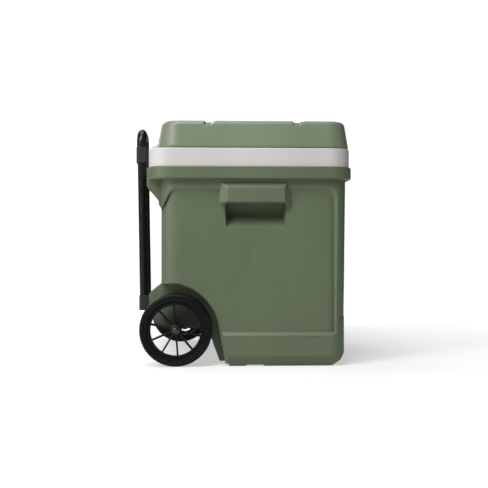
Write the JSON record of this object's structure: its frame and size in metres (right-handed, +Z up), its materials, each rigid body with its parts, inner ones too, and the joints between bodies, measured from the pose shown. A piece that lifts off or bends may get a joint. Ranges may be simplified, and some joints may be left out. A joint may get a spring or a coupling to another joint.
{
  "type": "wheeled cooler",
  "caption": "Insulated hard-sided cooler on two rear wheels, with a hinged lid, side lift handles and a telescoping tow handle.",
  "frame": {"origin": "centre of the bounding box at floor height, with the cooler standing on its wheels and front feet", "axes": "+X from the tow handle (rear) to the front, +Y along the cooler's length with the axle (the lift-handle end at -Y is the left one), +Z up"},
  "size_m": [0.467, 0.61, 0.5249],
  "materials": {
    "body_green": "satin, finely textured moulded polypropylene",
    "lid_green": "satin, finely textured moulded polypropylene",
    "liner_white": "smooth, light grey-white moulding",
    "insulation": "rigid polyurethane foam filling, hidden",
    "black_plastic": "satin black moulding",
    "grey_plastic": "satin dark grey moulding",
    "grip_black": "semi-gloss black moulding",
    "black_tube": "black powder-coated tube",
    "steel": "zinc-plated steel",
    "tyre": "satin black ribbed polyethylene tread",
    "rubber": "soft black rubber"
  },
  "bodies": {
    "base": {"outer_shell": "body_green", "inner_liner": "liner_white", "body_insulation": "insulation", "hinge_base_left": "liner_white", "hinge_base_right": "liner_white", "hinge_pin_left": "steel", "hinge_pin_right": "steel", "hinge_base_screws": "steel", "axle": "steel", "left_axle_washer": "steel", "right_axle_washer": "steel", "left_push_nut": "steel", "right_push_nut": "steel", "axle_keeper_left": "black_plastic", "axle_keeper_right": "black_plastic", "axle_keeper_screws": "steel", "handle_lower_bracket": "grey_plastic", "lower_bracket_screws": "steel", "handle_upper_bracket": "grey_plastic", "upper_bracket_screws": "steel", "left_outer_tube": "black_tube", "right_outer_tube": "black_tube", "outer_tube_guides": "black_plastic", "drain_gasket": "rubber", "drain_spout": "liner_white", "drain_nut": "liner_white"},
    "lid": {"lid_shell": "lid_green", "lid_liner": "liner_white", "lid_insulation": "insulation", "hinge_leaf_left": "liner_white", "hinge_leaf_right": "liner_white", "hinge_leaf_screws": "steel"},
    "left_wheel": {"left_wheel_rim": "black_plastic", "left_wheel_tyre": "tyre"},
    "right_wheel": {"right_wheel_rim": "black_plastic", "right_wheel_tyre": "tyre"},
    "handle_middle": {"left_middle_tube": "black_tube", "right_middle_tube": "black_tube", "middle_tube_guides": "black_plastic", "middle_tube_glides": "black_plastic"},
    "handle_inner": {"left_inner_tube": "black_tube", "right_inner_tube": "black_tube", "inner_tube_glides": "black_plastic", "tow_grip": "grip_black", "grip_pins": "steel"},
    "drain_stopper": {"drain_plug": "grey_plastic", "drain_plug_seal": "rubber"}
  },
  "joints": [
    {"name": "lid_hinge", "type": "hinge", "parent": "base", "child": "lid", "pos_m": [-0.186, 0, 0.462], "axis": [0, 1, 0], "range_deg": [-90, 0]},
    {"name": "left_wheel_spin", "type": "hinge", "parent": "base", "child": "left_wheel", "pos_m": [-0.1376, -0.276, 0.0762], "axis": [0, 1, 0], "continuous": true},
    {"name": "right_wheel_spin", "type": "hinge", "parent": "base", "child": "right_wheel", "pos_m": [-0.1376, 0.276, 0.0762], "axis": [0, 1, 0], "continuous": true},
    {"name": "handle_stage_1", "type": "slide", "parent": "base", "child": "handle_middle", "axis": [-0.0175, 0, 0.9998], "range_m": [0, 0.26]},
    {"name": "handle_stage_2", "type": "slide", "parent": "handle_middle", "child": "handle_inner", "axis": [-0.0175, 0, 0.9998], "range_m": [0, 0.26]},
    {"name": "drain_plug_pull", "type": "slide", "parent": "base", "child": "drain_stopper", "axis": [0, 1, 0], "range_m": [0, 0.016]}
  ],
  "couplings": [
    {"joint": "handle_stage_2", "follows": "handle_stage_1", "ratio": 1}
  ]
}
